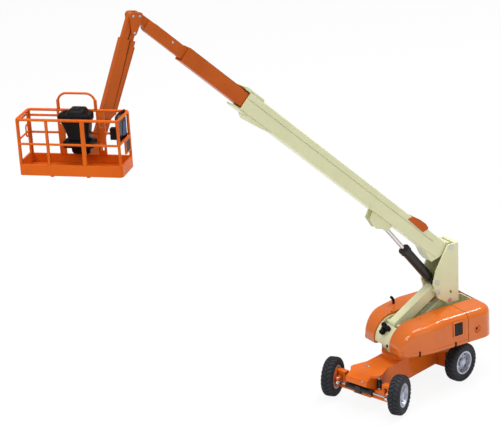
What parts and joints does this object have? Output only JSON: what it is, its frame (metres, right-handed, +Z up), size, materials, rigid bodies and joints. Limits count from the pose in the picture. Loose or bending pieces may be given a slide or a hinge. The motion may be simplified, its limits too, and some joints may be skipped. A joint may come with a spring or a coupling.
{
  "type": "scale model of an articulating boom lift with telescoping boom and jib",
  "caption": "Scale model boom lift: steered four-wheel chassis, swinging turntable, folding tower, telescoping boom, levelled jib and turning work basket.",
  "frame": {"origin": "on the flat underside of the chassis beam, on the turntable's swing axis", "axes": "+X forward along the chassis, +Y left, +Z up"},
  "size_m": [0.3658, 0.1419, 0.343],
  "materials": {
    "chassis_paint": "gloss",
    "hood_paint": "gloss",
    "boom_paint": "gloss",
    "basket_paint": "gloss",
    "cream_paint": "gloss",
    "tyre_rubber": "matte",
    "rim_silver": "satin",
    "pin_steel": "satin",
    "rod_chrome": "polished",
    "black_paint": "satin",
    "black_plastic": "satin",
    "black_gloss": "gloss"
  },
  "bodies": {
    "chassis": {"chassis_frame": "chassis_paint", "front_axle": "chassis_paint", "rear_axle": "chassis_paint", "lockout_cylinders": "black_paint", "steer_cylinder": "black_paint", "slew_ring": "chassis_paint"},
    "steer_left": {"knuckle_left": "chassis_paint"},
    "steer_right": {"knuckle_right": "chassis_paint"},
    "steer_rod": {"steer_rod": "rod_chrome"},
    "turntable": {"turntable_deck": "cream_paint", "hood_left": "hood_paint", "hood_right": "hood_paint", "counterweight": "hood_paint", "control_panel": "black_gloss", "front_fitting": "black_plastic", "hose_stub": "black_plastic"},
    "tower": {"tower_boom": "cream_paint"},
    "tower_link": {"tower_link": "cream_paint"},
    "upright": {"upright": "cream_paint", "upright_pins": "cream_paint"},
    "boom": {"base_boom": "cream_paint", "rod_bracket": "cream_paint", "boom_cover": "boom_paint", "boom_collar": "cream_paint"},
    "boom_mid": {"boom_mid": "boom_paint"},
    "boom_fly": {"boom_fly": "boom_paint"},
    "lift_barrel": {"lift_barrel": "black_paint"},
    "lift_rod": {"lift_rod": "rod_chrome"},
    "elbow": {"elbow_cheeks": "boom_paint", "elbow_pins": "pin_steel"},
    "jib": {"jib_arm": "boom_paint"},
    "jib_link": {"jib_link": "boom_paint"},
    "platform": {"platform_bracket": "boom_paint", "platform_pins": "pin_steel"},
    "basket": {"basket_mount": "basket_paint", "basket_tray": "basket_paint", "basket_rails": "basket_paint", "basket_hoop": "basket_paint", "console": "black_plastic", "side_box": "black_plastic", "end_panel": "black_gloss"},
    "gate": {"gate": "basket_paint"},
    "wheel_front_left": {"tyre_front_left": "tyre_rubber", "rim_front_left": "rim_silver"},
    "wheel_front_right": {"tyre_front_right": "tyre_rubber", "rim_front_right": "rim_silver"},
    "wheel_rear_left": {"tyre_rear_left": "tyre_rubber", "rim_rear_left": "rim_silver"},
    "wheel_rear_right": {"tyre_rear_right": "tyre_rubber", "rim_rear_right": "rim_silver"}
  },
  "joints": [
    {"name": "steer_left", "type": "hinge", "parent": "chassis", "child": "steer_left", "pos_m": [0.039, 0.025, 0.0063], "axis": [0, 0, 1], "range_deg": [-55, 15]},
    {"name": "steer_right", "type": "hinge", "parent": "chassis", "child": "steer_right", "pos_m": [0.039, -0.025, 0.0063], "axis": [0, 0, 1], "range_deg": [-56, 16]},
    {"name": "steer_rod", "type": "slide", "parent": "chassis", "child": "steer_rod", "axis": [0, 1, 0], "range_m": [-0.0072, 0.0021]},
    {"name": "spin_front_left", "type": "hinge", "parent": "steer_left", "child": "wheel_front_left", "pos_m": [0.03661, 0.03158, 0.0063], "axis": [-0.342, 0.9397, 0], "continuous": true},
    {"name": "spin_front_right", "type": "hinge", "parent": "steer_right", "child": "wheel_front_right", "pos_m": [0.04139, -0.03158, 0.0063], "axis": [-0.342, 0.9397, 0], "continuous": true},
    {"name": "spin_rear_left", "type": "hinge", "parent": "chassis", "child": "wheel_rear_left", "pos_m": [-0.039, 0.032, 0.0063], "axis": [0, 1, 0], "continuous": true},
    {"name": "spin_rear_right", "type": "hinge", "parent": "chassis", "child": "wheel_rear_right", "pos_m": [-0.039, -0.032, 0.0063], "axis": [0, 1, 0], "continuous": true},
    {"name": "swing", "type": "hinge", "parent": "chassis", "child": "turntable", "pos_m": [0, 0, 0.0228], "axis": [0, 0, 1], "continuous": true},
    {"name": "tower_lift", "type": "hinge", "parent": "turntable", "child": "tower", "pos_m": [0.00048, -0.00014, 0.044], "axis": [0.2723, 0.9622, 0], "range_deg": [-28, 35]},
    {"name": "tower_link", "type": "hinge", "parent": "turntable", "child": "tower_link", "pos_m": [-0.0101, 0.00286, 0.0348], "axis": [0.2723, 0.9622, 0], "range_deg": [-29, 36]},
    {"name": "upright_level", "type": "hinge", "parent": "tower", "child": "upright", "pos_m": [-0.03325, 0.00941, 0.06506], "axis": [0.2723, 0.9622, 0], "range_deg": [-36, 29]},
    {"name": "boom_lift", "type": "hinge", "parent": "upright", "child": "boom", "pos_m": [-0.04624, 0.01308, 0.09927], "axis": [-0.2723, -0.9622, 0], "range_deg": [-32, 17.5]},
    {"name": "lift_barrel", "type": "hinge", "parent": "upright", "child": "lift_barrel", "pos_m": [-0.03287, 0.0093, 0.07316], "axis": [-0.2723, -0.9622, 0], "range_deg": [-28, 15.5]},
    {"name": "lift_rod", "type": "slide", "parent": "lift_barrel", "child": "lift_rod", "axis": [0.5885, -0.1665, 0.7912], "range_m": [-0.016, 0.0089]},
    {"name": "mid_slide", "type": "slide", "parent": "boom", "child": "boom_mid", "axis": [0.7003, -0.1982, 0.6858], "range_m": [-0.048, 0.08]},
    {"name": "fly_slide", "type": "slide", "parent": "boom_mid", "child": "boom_fly", "axis": [0.7003, -0.1982, 0.6858], "range_m": [-0.032, 0.08]},
    {"name": "elbow_level", "type": "hinge", "parent": "boom_fly", "child": "elbow", "pos_m": [0.19621, -0.05552, 0.33012], "axis": [-0.2723, -0.9622, 0], "range_deg": [-26, 36]},
    {"name": "jib_lift", "type": "hinge", "parent": "elbow", "child": "jib", "pos_m": [0.20102, -0.05688, 0.33102], "axis": [-0.2723, -0.9622, 0], "range_deg": [0, 125]},
    {"name": "jib_link", "type": "hinge", "parent": "elbow", "child": "jib_link", "pos_m": [0.20092, -0.05686, 0.31922], "axis": [-0.2723, -0.9622, 0], "range_deg": [-1, 126]},
    {"name": "platform_level", "type": "hinge", "parent": "jib", "child": "platform", "pos_m": [0.23305, -0.06595, 0.25183], "axis": [-0.2723, -0.9622, 0], "range_deg": [-126, 1]},
    {"name": "basket_rotate", "type": "hinge", "parent": "platform", "child": "basket", "pos_m": [0.24046, -0.06804, 0.23803], "axis": [0, 0, 1], "range_deg": [-135, 45]},
    {"name": "gate_swing", "type": "hinge", "parent": "basket", "child": "gate", "pos_m": [0.27144, -0.09151, 0.24453], "axis": [0, 0, 1], "range_deg": [0, 85]}
  ],
  "couplings": [
    {"joint": "steer_right", "follows": "steer_left", "ratio": 1},
    {"joint": "steer_rod", "follows": "steer_left", "m_per_rad": 0.0072},
    {"joint": "tower_link", "follows": "tower_lift", "ratio": 1},
    {"joint": "upright_level", "follows": "tower_lift", "ratio": -1},
    {"joint": "lift_barrel", "follows": "boom_lift", "ratio": 0.85},
    {"joint": "lift_rod", "follows": "boom_lift", "m_per_rad": 0.028},
    {"joint": "elbow_level", "follows": "boom_lift", "ratio": -1},
    {"joint": "jib_link", "follows": "jib_lift", "ratio": 1},
    {"joint": "platform_level", "follows": "jib_lift", "ratio": -1}
  ]
}
